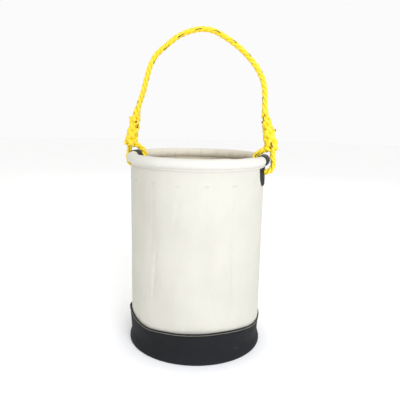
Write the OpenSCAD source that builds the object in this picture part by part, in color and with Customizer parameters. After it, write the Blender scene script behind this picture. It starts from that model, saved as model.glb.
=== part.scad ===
// Canvas tool bucket with a stiff rim hoop, a black boot, inner pockets and a spliced rope handle.
// Origin: centre of the base. +Z is up, and the rope passes through the wall along X.

/* [Bucket] */
// Outside diameter of the canvas wall
bucket_d = 305; // [250:1:360]
// Height from the base to the top of the rim
bucket_h = 445; // [330:1:560]
// Thickness of one ply of canvas
canvas_t = 1.4; // [1:0.1:2]
// Width of the lapped side seam at the back
seam_w = 26; // [15:1:40]

/* [Rim] */
// Outside diameter of the plastic tube that is bent into the hoop
hoop_d = 19; // [14:0.5:24]
// Wall of the hoop's tube
hoop_wall = 2; // [1.2:0.1:3]
// How far the sleeve's edges reach down the wall below the hoop
skirt_h = 3.3; // [2:0.1:6]
// Length of the plug that joins the hoop's two ends
plug_len = 60; // [30:1:100]

/* [Boot] */
// Height of the black band round the base
boot_h = 72; // [40:1:120]
// Thickness of the band and of the bottom disc
boot_t = 1.8; // [1.2:0.1:3]
// How far the band flares out at the floor
boot_flare = 3.7; // [0:0.1:8]
// Height over which the band flares
flare_h = 24; // [12:1:40]
// Thickness of the stiff base board
board_t = 3; // [2:0.5:6]

/* [Pockets] */
// Height of a pocket
pocket_h = 246; // [120:1:300]
// Distance from the top of the rim down to the pockets' mouths
pocket_drop = 57; // [50:1:90]
// How far the middle of a pocket stands off the wall
pocket_bulge = 16; // [12:0.5:20]
// Width of the flat strip that is sewn to the wall beside each pocket
seam_flat = 7; // [4:0.5:10]

/* [Rope handle] */
// Diameter of the rope
rope_d = 12.7; // [9:0.1:14]
// Height of the middle of the bow above the top of the rim
handle_rise = 272; // [200:1:340]
// Length of a splice from its pivot to where the plain rope starts
splice_len = 64; // [40:1:80]
// Diameter at the foot of a splice
splice_d = 28; // [20:0.5:34]
// Diameter at the top of a splice
splice_top_d = 15; // [13:0.5:18]
// Height of the eye's two legs above the guard on the rim
eye_rise = 18; // [14:0.5:30]
// Radius of the rope's bend beside its hole
eye_bend = 16; // [13:0.5:20]
// How far the splice stands outside the wall
eye_shift = 11.7; // [0:0.1:14]
// Gap between the eye's legs and the guard
eye_room = 2; // [1.8:0.1:6]

/* [Wear guards and patches] */
// Width of the guard that is wrapped over the rim
guard_w = 50; // [30:1:60]
// Thickness of the guards and patches
guard_t = 1.6; // [1:0.1:2.4]
// Width of the outer patch at its top
patch_w = 72; // [44:1:80]
// Height of the outer patch
patch_h = 41; // [34:1:60]
// Height of the inner patch
inner_patch_h = 26; // [24:1:30]
// Wall of the eyelet's barrel
eyelet_wall = 0.8; // [0.5:0.1:1.2]
// Radius of the eyelet's flange beyond its barrel
flange_w = 1.7; // [1:0.1:3]
// Thickness of the flange and of the washer
flange_t = 0.9; // [0.6:0.1:1.4]

/* [Clearances] */
// Gap between pieces that are sewn or pressed face to face
fit_gap = 0.1; // [0.05:0.05:0.2]
// Room round the rope in its eyelet, on the radius
rope_gap = 0.7; // [0.4:0.1:1.5]
// Gap between a splice and the eye that it swings on
pivot_gap = 0.4; // [0.3:0.1:1]

/* [Hidden] */
$fn = 96;

// cutters run this far past the faces that they cut
over = 1;

// wall and rim
wall_out = bucket_d / 2;
wall_in = wall_out - canvas_t;
wall_mid = (wall_out + wall_in) / 2;
hoop_r = hoop_d / 2;
sleeve_in = hoop_r + fit_gap;
sleeve_out = sleeve_in + canvas_t;
hoop_z = bucket_h - sleeve_out;
wall_top = hoop_z - sleeve_in;
skirt_z = hoop_z - sleeve_out - skirt_h;
guard_in = sleeve_out + fit_gap;
guard_out = guard_in + guard_t;
seam_angle = 90;
lap_gap = 0.5;
lap_sink = 0.2;
hoop_slit = 0.3;

// base, from the floor up
wall_foot = boot_t + fit_gap;
board_z = boot_t + fit_gap;
ply_z = board_z + board_t + fit_gap;
band_in = wall_out + fit_gap;

// rope holes
bore_r = rope_d / 2 + rope_gap;
barrel_r = bore_r + eyelet_wall;
flange_r = barrel_r + flange_w;
hole_r = barrel_r + fit_gap;
hole_drop = 1;
hole_z = min(hoop_z - guard_out, skirt_z) - flange_r - hole_drop;
patch_top = skirt_z - fit_gap;
patch_in = wall_out + fit_gap;
patch_out = patch_in + guard_t;
inner_patch_out = wall_in - fit_gap;
inner_patch_in = inner_patch_out - guard_t;
washer_x = inner_patch_in * cos(asin(flange_r / inner_patch_in)) - fit_gap;
barrel_roll = 0.6;
barrel_foot = washer_x - flange_t - barrel_roll;

// rope eye: two legs leave the hole and meet above the rim
leg_gap = 0.6;
leg_half = (rope_d + leg_gap) / 2;
hug_r = guard_out + rope_d / 2 + eye_room;
rim_up = hoop_z - hole_z;
eye_top = rim_up + guard_out + eye_rise;
arc_step = 22;
outer_stop = 22;
inner_stop = 66;
turn_in = 0.35;
turn_up = 0.5;
pivot_z = hole_z + eye_top + splice_d / 2 + pivot_gap;
pivot_x = wall_mid + eye_shift;
bow_top_z = bucket_h + handle_rise;
splice_top_x = 0.98;
shoulder_share = 0.7;
splice_top = [wall_mid * splice_top_x, pivot_z + splice_len];

// the bow's route, in percent of the wall's middle radius and of the rise above the pivot
bow_route = [[-93.5, 35], [-88, 45], [-83, 57], [-76.5, 69], [-66.5, 78.5], [-52, 86],
    [-35.5, 93.5], [-18, 98], [2, 100], [20, 98], [36.5, 92.5], [53, 85.5], [68, 77], [81.5, 67.5],
    [91, 58], [95.5, 49.5], [97.5, 39.5]];
rope_sides = 10;
rope_steps = 2;

// pockets, sewn in panels of two
panel_count = 8;
panel_angle = 360 / panel_count;
pocket_angle = panel_angle / 2;
pocket_out = wall_in - fit_gap;
flat_angle = seam_flat / 2 / pocket_out * 180 / PI;
pocket_top = bucket_h - pocket_drop;
pocket_clear = 20;
pocket_foot = max(pocket_top - pocket_h, ply_z + canvas_t + pocket_clear);
panel_gap = 0.25;
panel_steps = 48;
hem_t = 0.5;
floor_gap = 0.3;

module on_side(side) {
    mirror([side == "left" ? 1 : 0, 0, 0]) children();
}

// canvas wall, rim and base

module ring(r_in, r_out, z_low, z_high) {
    rotate_extrude() translate([r_in, z_low]) square([r_out - r_in, z_high - z_low]);
}

module rope_holes(r) {
    reach = patch_out + over;
    translate([-reach, 0, hole_z]) rotate([0, 90, 0]) cylinder(r = r, h = 2 * reach);
}

module side_wall() {
    lap = seam_w / wall_out * 180 / PI;
    color("ivory") difference() {
        union() {
            ring(wall_in, wall_out, wall_foot, wall_top);
            rotate([0, 0, seam_angle - lap / 2]) rotate_extrude(angle = lap)
                translate([wall_out - lap_sink, boot_h + lap_gap])
                square([canvas_t + lap_sink, skirt_z - boot_h - 2 * lap_gap]);
        }
        rope_holes(hole_r);
    }
}

module rim_hoop() {
    color("gainsboro") rotate([0, 0, seam_angle + hoop_slit / 2]) rotate_extrude(angle = 360 - hoop_slit)
        translate([wall_mid, hoop_z]) difference() {
            circle(r = hoop_r);
            circle(r = hoop_r - hoop_wall);
        }
}

module hoop_plug() {
    half = plug_len / 2 / wall_mid * 180 / PI;
    color("dimgray") rotate([0, 0, seam_angle - half]) rotate_extrude(angle = 2 * half)
        translate([wall_mid, hoop_z]) circle(r = hoop_r - hoop_wall - fit_gap);
}

module rim_sleeve() {
    leg = canvas_t + fit_gap;
    color("white") rotate_extrude() difference() {
        union() {
            translate([wall_mid, hoop_z]) circle(r = sleeve_out);
            translate([wall_in - leg, skirt_z]) square([canvas_t + 2 * leg, hoop_z - skirt_z]);
        }
        translate([wall_mid, hoop_z]) circle(r = sleeve_in);
        translate([wall_in - fit_gap, skirt_z - over])
            square([canvas_t + 2 * fit_gap, wall_top - skirt_z + over + fit_gap]);
    }
}

module bottom_ply() {
    color("ivory") translate([0, 0, ply_z]) cylinder(r = wall_in - fit_gap, h = canvas_t);
}

module base_board() {
    color("saddlebrown") translate([0, 0, board_z]) cylinder(r = wall_in - fit_gap, h = board_t);
}

// black boot

function flare(z) = z < flare_h ? boot_flare * pow(1 - z / flare_h, 2) : 0;

module boot_bottom() {
    color("black") cylinder(r = band_in + flare(boot_t) - fit_gap, h = boot_t);
}

module boot_band() {
    steps = 8;
    levels = [for (i = [0:steps]) i * flare_h / steps];
    inner = [for (z = levels) [band_in + flare(z), z]];
    outer = [for (i = [steps:-1:0]) inner[i] + [boot_t, 0]];
    color("black") rotate_extrude()
        polygon(concat(inner, [[band_in, boot_h], [band_in + boot_t, boot_h]], outer));
}

// wear guards, patches and eyelets

module rim_guard() {
    half = guard_w / 2 / wall_mid * 180 / PI;
    color("black") rotate([0, 0, -half]) rotate_extrude(angle = 2 * half)
        translate([wall_mid, hoop_z]) difference() {
            circle(r = guard_out);
            circle(r = guard_in);
            polygon([[0, 0], [-guard_out, -guard_out], [guard_out, -guard_out]]);
        }
}

// One half of a shield with square shoulders and a blunt foot, as shares of its width and height.
patch_side = [[0.5, 0], [0.47, -0.5], [0.38, -0.82], [0.2, -1]];

module patch_outline(w, h) {
    half = [for (p = patch_side) [p[0] * w, p[1] * h]];
    polygon(concat(half, [for (p = backwards(half)) [-p[0], p[1]]]));
}

module patch(r_in, r_out, w, h) {
    color("black") difference() {
        intersection() {
            ring(r_in, r_out, patch_top - h - over, patch_top + over);
            translate([r_in - w / 4, 0, patch_top]) rotate([90, 0, 90])
                linear_extrude(height = w / 2) patch_outline(w, h);
        }
        rope_holes(hole_r);
    }
}

module eyelet() {
    color("darkslategray") translate([0, 0, hole_z]) rotate([0, 90, 0]) difference() {
        union() {
            translate([0, 0, barrel_foot])
                cylinder(r = barrel_r, h = patch_out + fit_gap + flange_t / 2 - barrel_foot);
            translate([0, 0, patch_out + fit_gap]) cylinder(r = flange_r, h = flange_t);
        }
        translate([0, 0, barrel_foot - over])
            cylinder(r = bore_r, h = patch_out + fit_gap + flange_t - barrel_foot + 2 * over);
    }
}

module eyelet_washer() {
    color("darkslategray") translate([washer_x - flange_t, 0, hole_z]) rotate([0, 90, 0])
        difference() {
            cylinder(r = flange_r, h = flange_t);
            translate([0, 0, -over]) cylinder(r = hole_r, h = flange_t + 2 * over);
        }
}

// inner pockets

// The circle that a pocket's inner face follows: through both seams and the middle of the bulge.
pocket_half = pocket_angle / 2 - flat_angle;
seam_x = pocket_out * cos(pocket_half);
seam_y = pocket_out * sin(pocket_half);
face_r_low = pocket_out - pocket_bulge;
pocket_cx = (seam_x * seam_x + seam_y * seam_y - face_r_low * face_r_low) / (2 * (seam_x - face_r_low));
pocket_cr = pocket_cx - face_r_low;

// Radius of a pocket's face at an angle from its middle: depth 0 is the inner face.
function face_r(angle, depth) =
    let (flat_r = pocket_out - canvas_t + depth, r = pocket_cr - depth,
         k = r * r - pow(pocket_cx * sin(angle), 2))
    k <= 0 ? flat_r : min(flat_r, pocket_cx * cos(angle) - sqrt(k));
function polar(r, angle) = [r * cos(angle), r * sin(angle)];

module panel_outline() {
    half = pocket_angle - panel_gap;
    angles = [for (i = [0:panel_steps]) -half + 2 * half * i / panel_steps];
    polygon(concat(
        [for (a = angles) polar(face_r(abs(a) - pocket_angle / 2, canvas_t), a)],
        [for (i = [panel_steps:-1:0]) polar(face_r(abs(angles[i]) - pocket_angle / 2, 0), angles[i])]));
}

// The floor of one pocket reaches from the middle of its sheet to just short of the wall.
module pocket_floor() {
    half = pocket_half + flat_angle / 3;
    angles = [for (i = [0:panel_steps / 2]) -half + 4 * half * i / panel_steps];
    polygon(concat([for (a = angles) polar(pocket_out - floor_gap, a)],
        [for (i = [panel_steps / 2:-1:0]) polar(face_r(angles[i], canvas_t / 2), angles[i])]));
}

module pocket_panel(number) {
    color("ivory") rotate([0, 0, panel_angle * (number - 0.5)]) {
        translate([0, 0, pocket_foot]) linear_extrude(height = pocket_top - pocket_foot) panel_outline();
        for (side = [-1, 1]) rotate([0, 0, side * pocket_angle / 2])
            translate([0, 0, pocket_foot + hem_t]) linear_extrude(height = canvas_t) pocket_floor();
    }
}

// rope handle

// Catmull-Rom curve through a list of points.
function curve_point(a, b, c, d, t) =
    0.5 * (2 * b + (c - a) * t + (2 * a - 5 * b + 4 * c - d) * t * t + (3 * b - a - 3 * c + d) * t * t * t);
function curve(p, steps) = let (n = len(p) - 1) concat(
    [for (i = [0:n - 1], k = [0:steps - 1])
        curve_point(p[max(i - 1, 0)], p[i], p[i + 1], p[min(i + 2, n)], k / steps)], [p[n]]);

// A round tube along a line in the XZ plane, with the directions of its two ends.
module rope_tube(line, first_dir, last_dir) {
    n = len(line);
    ahead = [for (i = [0:n - 1]) i == 0 ? first_dir : i == n - 1 ? last_dir : line[i + 1] - line[i - 1]];
    points = [for (i = [0:n - 1], k = [0:rope_sides - 1])
        let (side = [ahead[i][1], -ahead[i][0]] / norm(ahead[i]), a = k * 360 / rope_sides,
             flat = line[i] + side * cos(a) * rope_d / 2)
        [flat[0], sin(a) * rope_d / 2, flat[1]]];
    faces = concat([[for (k = [0:rope_sides - 1]) k]],
        [for (i = [0:n - 2], k = [0:rope_sides - 1])
            let (j = (k + 1) % rope_sides, low = i * rope_sides, high = low + rope_sides)
            [low + k, high + k, high + j, low + j]],
        [[for (k = [rope_sides - 1:-1:0]) (n - 1) * rope_sides + k]]);
    polyhedron(points, faces, convexity = 4);
}

// A leg turns up beside the rim, follows it round as far as stop degrees, then turns up into the splice.
function leg(end, stop, side) =
    let (corner = [for (a = [0:30:90]) [hug_r - eye_bend * (1 - sin(a)), eye_bend * (1 - cos(a))]],
         arc = [for (a = [0:arc_step:stop]) [hug_r * cos(a), rim_up + hug_r * sin(a)]],
         last = arc[len(arc) - 1],
         turn = [end + turn_in * (last[0] - end), last[1] + turn_up * (eye_top - last[1])])
    [for (p = concat(corner, arc, [turn, [end, eye_top]])) [side * p[0], p[1]]];
function backwards(list) = [for (i = [len(list) - 1:-1:0]) list[i]];

module rope_eye() {
    line = concat(backwards(leg(leg_half - eye_shift, inner_stop, -1)), [[0, 0]],
        leg(leg_half + eye_shift, outer_stop, 1));
    color("gold") translate([wall_mid, 0, hole_z]) rope_tube(curve(line, rope_steps), [0, -1], [0, 1]);
}

splice_dir = [splice_top[0] - pivot_x, splice_top[1] - pivot_z];
splice_lean = atan(splice_dir[0] / splice_dir[1]);
splice_axis_len = norm(splice_dir);

module splice() {
    shoulder = shoulder_share * splice_axis_len;
    color("goldenrod") translate([pivot_x, 0, pivot_z]) rotate([0, splice_lean, 0]) {
        sphere(d = splice_d);
        cylinder(d = splice_d, h = shoulder);
        translate([0, 0, shoulder])
            cylinder(d1 = splice_d, d2 = splice_top_d, h = splice_axis_len - shoulder);
    }
}

bow_points = concat([[-splice_top[0], splice_top[1]]],
    [for (p = bow_route) [p[0] / 100 * wall_mid, pivot_z + p[1] / 100 * (bow_top_z - pivot_z)]],
    [splice_top]);

module rope_bow() {
    color("gold") rope_tube(curve(bow_points, rope_steps), [-splice_dir[0], splice_dir[1]], -splice_dir);
}

side_wall();
rim_hoop();
hoop_plug();
rim_sleeve();
for (side = ["right", "left"]) on_side(side) {
    rim_guard();
    patch(patch_in, patch_out, patch_w, patch_h);
    patch(inner_patch_in, inner_patch_out, patch_w, inner_patch_h);
    eyelet();
    eyelet_washer();
    rope_eye();
    splice();
}
bottom_ply();
base_board();
boot_bottom();
boot_band();
for (i = [1:panel_count]) pocket_panel(i);
rope_bow();
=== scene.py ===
import bmesh
import bpy
import math
import numpy as np
from mathutils import Matrix, Vector


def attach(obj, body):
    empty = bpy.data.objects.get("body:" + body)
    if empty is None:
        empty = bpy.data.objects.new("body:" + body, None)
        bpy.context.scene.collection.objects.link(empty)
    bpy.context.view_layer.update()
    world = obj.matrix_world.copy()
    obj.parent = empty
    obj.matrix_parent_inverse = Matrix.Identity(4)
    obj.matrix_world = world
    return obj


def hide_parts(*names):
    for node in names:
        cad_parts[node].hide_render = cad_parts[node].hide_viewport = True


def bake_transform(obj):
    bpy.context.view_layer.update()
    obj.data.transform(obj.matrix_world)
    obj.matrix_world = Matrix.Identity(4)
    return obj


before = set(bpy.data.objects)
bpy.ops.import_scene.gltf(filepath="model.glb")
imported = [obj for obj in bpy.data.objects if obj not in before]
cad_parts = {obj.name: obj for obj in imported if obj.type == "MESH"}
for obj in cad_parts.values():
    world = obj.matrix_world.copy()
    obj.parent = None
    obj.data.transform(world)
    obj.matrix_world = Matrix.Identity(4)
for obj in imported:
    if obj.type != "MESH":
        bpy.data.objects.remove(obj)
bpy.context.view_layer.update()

scene = bpy.context.scene
mm = 0.001

cameraSetup = {"azimuth": 15.0, "distance": 1.077, "height": 0.533, "tiltDown": 10.45,
               "roll": 1.21, "lens": 41.94, "shiftX": 0.00725}


def placeCamera(s):
    turn, tilt, roll = (math.radians(s[k]) for k in ("azimuth", "tiltDown", "roll"))
    ahead = Vector((-math.sin(turn) * math.cos(tilt), math.cos(turn) * math.cos(tilt), -math.sin(tilt)))
    level = Vector((math.cos(turn), math.sin(turn), 0))
    top = level.cross(ahead)
    right = level * math.cos(roll) + top * math.sin(roll)
    up = top * math.cos(roll) - level * math.sin(roll)
    data = bpy.data.cameras.new("camera")
    data.lens, data.sensor_width, data.shift_x = s["lens"], 36, s["shiftX"]
    data.clip_start, data.clip_end = 0.05, 60
    camera = bpy.data.objects.new("camera", data)
    scene.collection.objects.link(camera)
    place = Matrix((right, up, -ahead)).transposed().to_4x4()
    place.translation = (s["distance"] * math.sin(turn), -s["distance"] * math.cos(turn), s["height"])
    camera.matrix_world = place
    scene.camera = camera


studio = {"world": 0.965, "floor": (0.985, 0.985, 0.98),
          "lamps": [  # name, power, size, place, aim, colour
              ("keyLamp", 38, 1.2, (1.35, -1.75, 1.25), (0, 0, 0.3), (0.89, 0.91, 1.0)),
              ("fillLamp", 1.5, 2.2, (-2.2, -1.2, 1.2), (0, 0, 0.3), (1, 1, 1)),
              ("backLamp", 6, 1.8, (-0.4, 2.2, 1.8), (0, 0, 0.4), (1, 0.97, 0.9))]}


def lightStudio(s):
    world = bpy.data.worlds.new("studio")
    scene.world = world
    world.use_nodes = True
    world.node_tree.nodes["Background"].inputs["Color"].default_value = (1, 1, 1, 1)
    world.node_tree.nodes["Background"].inputs["Strength"].default_value = s["world"]
    for name, power, size, place, aim, colour in s["lamps"]:
        data = bpy.data.lights.new(name, "AREA")
        data.energy, data.size, data.color = power, size, colour
        lamp = bpy.data.objects.new(name, data)
        scene.collection.objects.link(lamp)
        lamp.location = place
        lamp.rotation_euler = (Vector(aim) - Vector(place)).to_track_quat("-Z", "Y").to_euler()
    scene.view_settings.view_transform = "Standard"


placeCamera(cameraSetup)
lightStudio(studio)
print("camera and light placed")


# One output socket, with arithmetic on it.
class Wire:

    def __init__(self, finish, socket):
        self.finish, self.socket = finish, socket

    def math(self, operation, *others, first=None):
        values = ([self] if first is None else [first, self]) + list(others)
        return self.finish.node("ShaderNodeMath", {"operation": operation}, dict(enumerate(values)))

    def __add__(self, other):
        return self.math("ADD", other)

    def __sub__(self, other):
        return self.math("SUBTRACT", other)

    def __rsub__(self, other):
        return self.math("SUBTRACT", first=other)

    def __mul__(self, other):
        return self.math("MULTIPLY", other)

    def __truediv__(self, other):
        return self.math("DIVIDE", other)

    __radd__ = __add__
    __rmul__ = __mul__

    def clip(self):
        return self.math("MULTIPLY", 1.0).clamped()

    def clamped(self):
        self.socket.node.use_clamp = True
        return self


# A material, with one method that adds any node.
class Finish:

    def __init__(self, name, constants):
        self.material = bpy.data.materials.new(name)
        self.material.use_nodes = True
        self.tree = self.material.node_tree
        self.shader = self.tree.nodes["Principled BSDF"]
        for key, value in constants.items():
            self.shader.inputs[key].default_value = value

    def node(self, kind, settings=None, inputs=None, output=0):
        made = self.tree.nodes.new(kind)
        for key, value in (settings or {}).items():
            if key == "stops":
                ramp = made.color_ramp.elements
                while len(ramp) < len(value):
                    ramp.new(0.5)
                for element, (place, colour) in zip(ramp, value):
                    element.position, element.color = place, colour
            else:
                setattr(made, key, value)
        for key, value in (inputs or {}).items():
            if isinstance(value, Wire):
                self.tree.links.new(value.socket, made.inputs[key])
            else:
                made.inputs[key].default_value = value
        return Wire(self, made.outputs[output])

    def feed(self, key, wire):
        self.tree.links.new(wire.socket, self.shader.inputs[key])

    # short forms of the nodes used most
    def objectPlace(self):
        return self.node("ShaderNodeTexCoord", output="Object")

    def clothPlace(self):
        return self.node("ShaderNodeUVMap", {"uv_map": "cloth"})

    def attribute(self, name):
        return self.node("ShaderNodeAttribute", {"attribute_name": name}, output="Fac")

    def stretched(self, vector, scale):
        return self.node("ShaderNodeVectorMath", {"operation": "MULTIPLY"}, {0: vector, 1: scale})

    def parts(self, vector):
        first = self.node("ShaderNodeSeparateXYZ", inputs={0: vector})
        return [Wire(self, s) for s in first.socket.node.outputs]

    def joined(self, x, y, z=0.0):
        return self.node("ShaderNodeCombineXYZ", inputs={0: x, 1: y, 2: z})

    def noise(self, vector, scale, detail=2.0, roughness=0.5):
        return self.node("ShaderNodeTexNoise", inputs={"Vector": vector, "Scale": scale, "Detail": detail,
                                                       "Roughness": roughness})

    def between(self, wire, low, high):
        return self.node("ShaderNodeMapRange", {"interpolation_type": "SMOOTHSTEP"},
                         {"Value": wire, "From Min": low, "From Max": high})

    def blend(self, factor, first, second):
        return self.node("ShaderNodeMix", {"data_type": "RGBA"}, {0: factor, 6: first, 7: second}, output=2)

    def relief(self, height, depth, strength=1.0, under=None):
        inputs = {"Height": height, "Distance": depth, "Strength": strength}
        if under is not None:
            inputs["Normal"] = under
        return self.node("ShaderNodeBump", inputs=inputs)


def shade(colour, factor):
    return tuple(c * factor for c in colour[:3]) + (1,)


# Plain-weave cotton: the yarns follow the cloth's own map, in metres.
def canvasFinish(name, s):
    f = Finish(name, {"Sheen Weight": s["sheen"], "Sheen Roughness": 0.6, "Specular IOR Level": 0.25})
    cloth = f.clothPlace()
    x, y, _ = f.parts(cloth)
    across, along = x / s["pitch"], y / s["pitch"]
    even = (across.math("FLOOR") + along.math("FLOOR")).math("FLOORED_MODULO", 2.0)
    warp = (across * math.pi).math("SINE").math("ABSOLUTE")
    weft = (along * math.pi).math("SINE").math("ABSOLUTE")
    weave = even * warp * (0.5 + 0.5 * weft) + (1 - even) * weft * (0.5 + 0.5 * warp)
    slubs = (f.noise(f.stretched(cloth, (90, 1400, 0)), 1.0, 2.0)
             + f.noise(f.stretched(cloth, (1400, 90, 0)), 1.0, 2.0))
    place = f.objectPlace()
    cloudy = f.noise(place, 9.0, 4.0, 0.6)
    dust = f.between(f.noise(place, 34.0, 5.0, 0.65), 0.55, 0.8)
    # The point attribute darkens the cloth towards the crease colour in creases, folds, seams and under the
    # rim: painted shade.
    worn = f.attribute("worn")
    base = f.blend(f.between(cloudy, 0.3, 0.7), shade(s["colour"], 0.955), shade(s["colour"], 1.02))
    base = f.blend((dust * s["dust"]).clip(), base, s["dustColour"])
    base = f.blend((worn * s["creaseShade"]).clip(), base, s["creaseShadeColour"])
    base = f.blend(((1 - weave) * 0.2).clip(), base, shade(s["colour"], 0.55))
    # Faces that look towards the bucket's axis are tinted warm beige: painted interior light and shade.
    fromAxis = f.node("ShaderNodeVectorMath", {"operation": "NORMALIZE"}, {0: f.stretched(place, (1, 1, 0))})
    outward = f.node("ShaderNodeVectorMath", {"operation": "DOT_PRODUCT"},
                     {0: fromAxis, 1: f.node("ShaderNodeTexCoord", output="Normal")}, output=1)
    inside = 1 - f.between(outward, s["insideTurn"] - 0.2, s["insideTurn"] + 0.2)
    base = f.blend((inside * s["inside"]).clip(), base, s["insideShadingColour"])
    f.feed("Base Color", base)
    f.feed("Roughness", 0.78 + 0.14 * cloudy)
    broad = f.relief(f.noise(place, 26.0, 3.0, 0.55), 0.0016 * s["crumple"], 0.5)
    f.feed("Normal", f.relief(weave + 0.35 * slubs, 0.00022, 0.55, broad))
    return f.material


# Black grained hide or vinyl with dull gloss and rubbed edges.
def hideFinish(name, s):
    f = Finish(name, {"Specular IOR Level": s["gloss"], "Coat Roughness": 0.45})
    place = f.objectPlace()
    drift = f.node("ShaderNodeTexNoise", inputs={"Vector": place, "Scale": 160.0, "Detail": 2.0}, output=1)
    wandering = f.node("ShaderNodeVectorMath", {"operation": "ADD"},
                       {0: place, 1: f.stretched(drift, (0.0016, 0.0016, 0.0016))})
    grain = f.node("ShaderNodeTexVoronoi", {"feature": "DISTANCE_TO_EDGE"},
                   {"Vector": wandering, "Scale": s["grain"]})
    pebbles = f.between(grain, 0.0, 0.22)
    cloudy = f.noise(place, 14.0, 4.0, 0.6)
    scuffs = f.between(f.noise(f.stretched(place, (30, 30, 110)), 1.0, 5.0, 0.7), 0.6, 0.78)
    rubbed = f.attribute("worn")
    base = f.blend(cloudy, shade(s["colour"], 0.8), shade(s["colour"], 1.3))
    base = f.blend(((1 - pebbles) * 0.5).clip(), base, shade(s["colour"], 0.45))
    base = f.blend((scuffs * s["scuff"] + rubbed * 0.35).clip(), base, s["rubColour"])
    f.feed("Base Color", base)
    f.feed("Roughness", s["rough"] + 0.16 * (cloudy - 0.5) + 0.1 * scuffs)
    broad = f.relief(f.noise(place, 40.0, 3.0, 0.5), 0.0012, 0.35)
    f.feed("Normal", f.relief(pebbles, 0.00022, 0.6, broad))
    return f.material


# Laid polypropylene: yarns run along the rope, and a few of them are dark tracers.
def ropeFinish(name, s):
    f = Finish(name, {"Specular IOR Level": 0.5, "Sheen Weight": 0.12, "Sheen Roughness": 0.35})
    around, along, _ = f.parts(f.clothPlace())
    lay = around + along / s["yarnTurn"]
    yarns = (lay * (math.pi * s["yarns"])).math("SINE").math("ABSOLUTE")
    fibres = f.noise(f.joined(lay * 90.0, along * 55.0, f.attribute("strand")), 1.0, 3.0, 0.6)
    spread = f.noise(f.joined(lay * 16.0, along * 25.0, f.attribute("strand") * 3.0), 1.0, 2.0)
    # The point attribute marks the crevices between strands, which are painted a darker orange: painted
    # shade. The grooves between yarns get the shadow colour, painted shade too.
    creviceShade = f.attribute("worn")
    base = f.blend(fibres, s["shadow"], s["colour"])
    base = f.blend(f.between(spread, 0.35, 0.75) * 0.6, base, s["light"])
    base = f.blend(((1 - yarns) * 0.3).clip(), base, s["shadow"])
    base = f.blend((creviceShade * 0.6).clip(), base, s["creviceShade"])
    ahead = (lay + 0.31).math("FRACT")
    streak = 1 - f.between((ahead - 0.5).math("ABSOLUTE"), s["tracerWidth"], s["tracerWidth"] + 0.02)
    carries = 1 - f.between(f.attribute("strand"), s["tracerStrands"] - 0.5, s["tracerStrands"] - 0.4)
    base = f.blend((streak * carries * (0.35 + fibres)).clip(), base, s["tracer"])
    f.feed("Base Color", base)
    f.feed("Roughness", 0.34 + 0.22 * fibres)
    f.feed("Normal", f.relief(yarns * 0.7 + fibres * 0.6, 0.00045, 0.8))
    return f.material


# Thread, metal, plastic and board: a mottled colour with fine relief.
def plainFinish(name, s):
    f = Finish(name, {"Metallic": s.get("metal", 0.0), "Specular IOR Level": s.get("gloss", 0.4)})
    place = f.objectPlace()
    speckle = f.noise(f.stretched(place, s["stretch"]), 1.0, 4.0, 0.62)
    cloudy = f.noise(place, 45.0, 3.0)
    base = f.blend(f.between(speckle, 0.3, 0.7), s["dark"], s["light"])
    f.feed("Base Color", base)
    f.feed("Roughness", s["rough"] + 0.2 * (cloudy - 0.5))
    f.feed("Normal", f.relief(speckle, s["depth"], 0.6))
    return f.material


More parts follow.
